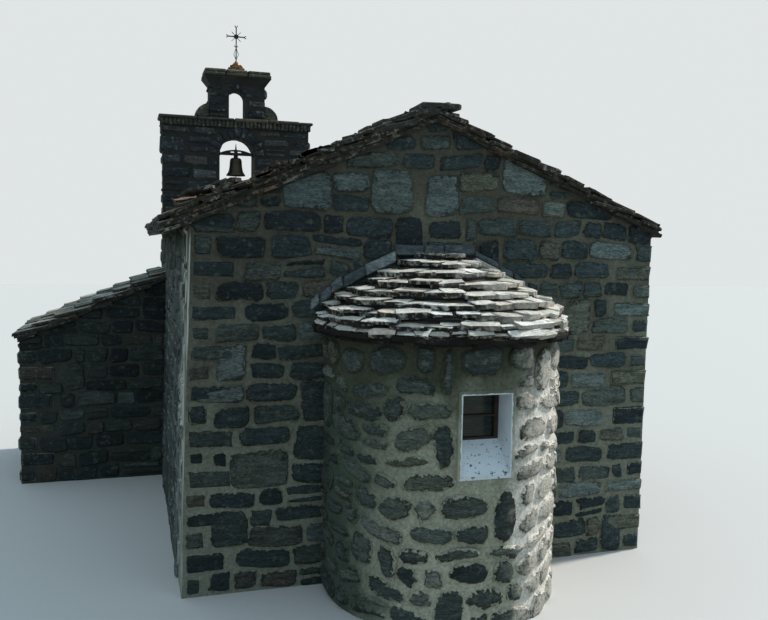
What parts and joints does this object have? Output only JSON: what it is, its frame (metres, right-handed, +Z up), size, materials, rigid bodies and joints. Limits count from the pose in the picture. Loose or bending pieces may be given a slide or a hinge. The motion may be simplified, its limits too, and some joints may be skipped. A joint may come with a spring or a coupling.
{
  "type": "small mountain chapel",
  "caption": "Small rubble stone chapel with a round apse under stepped slabs, a lean-to side room and a two-tier bell gable with a swinging bell.",
  "frame": {"origin": "under the ridge, halfway along the nave, at the lowest ground level", "axes": "+Z up, -Y towards the apse, +X to the right when facing the apse end from outside"},
  "size_m": [8.14, 9.182, 7.9337],
  "materials": {
    "wall_stone": "dark squared rubble in khaki lime mortar",
    "apse_stone": "irregular rubble in broad cream lime mortar",
    "bell_stone": "dark coursed rubble, lichen spotted",
    "slab_stone": "split slate slabs with orange and pale lichen",
    "apse_slab_stone": "thick weathered split slabs, sunlit cream to grey",
    "weathering_stone": "smooth blue-grey slate",
    "floor_stone": "worn flagstones",
    "white_render": "chalky white paint on render, peeling on the sill",
    "sash_wood": "dark brown stained softwood",
    "door_wood": "weathered larch planks",
    "roof_timber": "rough sawn larch",
    "pane_glass": "old window glass",
    "wrought_iron": "black wrought iron",
    "bell_bronze": "dark patinated bronze"
  },
  "bodies": {
    "masonry": {"rear_wall_left": "wall_stone", "rear_wall_right": "wall_stone", "rear_gable": "wall_stone", "left_side_wall": "wall_stone", "right_side_wall": "wall_stone", "front_wall_left": "wall_stone", "front_wall_right": "wall_stone", "front_gable": "wall_stone", "door_threshold": "wall_stone", "annex_rear_wall": "wall_stone", "annex_side_wall": "wall_stone", "annex_front_wall": "wall_stone", "apse_wall_left": "apse_stone", "apse_wall_right": "apse_stone", "apse_wall_below_window": "apse_stone", "apse_vault": "apse_stone", "bell_piers": "bell_stone", "bell_sill_wall": "bell_stone", "bell_arch": "bell_stone", "lower_cornice": "bell_stone", "upper_pillars": "bell_stone", "upper_arch": "bell_stone", "cap_slab": "bell_stone", "volutes": "bell_stone", "finial_stone": "bell_stone", "roof_slabs_left": "slab_stone", "roof_slabs_right": "slab_stone", "ridge_slabs": "slab_stone", "annex_slabs": "slab_stone", "apse_eave_course": "apse_slab_stone", "apse_roof_slabs": "apse_slab_stone", "apse_weathering": "weathering_stone", "floor_fill": "floor_stone", "nave_floor": "floor_stone", "annex_floor": "floor_stone", "window_surround": "white_render", "window_frame": "sash_wood", "door_frame": "door_wood", "front_door": "door_wood", "annex_door": "door_wood", "roof_beams": "roof_timber", "roof_boards_left": "roof_timber", "roof_boards_right": "roof_timber", "window_pane": "pane_glass", "iron_cross": "wrought_iron", "yoke_bearings": "wrought_iron"},
    "bell": {"bell_yoke": "wrought_iron", "bell": "bell_bronze"},
    "clapper": {"clapper": "bell_bronze"}
  },
  "joints": [
    {"name": "bell_swing", "type": "hinge", "parent": "masonry", "child": "bell", "pos_m": [-1.385, 3.4, 5.54], "axis": [1, 0, 0], "range_deg": [-50, 50]},
    {"name": "clapper_swing", "type": "hinge", "parent": "bell", "child": "clapper", "pos_m": [-1.385, 3.4, 5.418], "axis": [1, 0, 0], "range_deg": [-20, 20]}
  ]
}
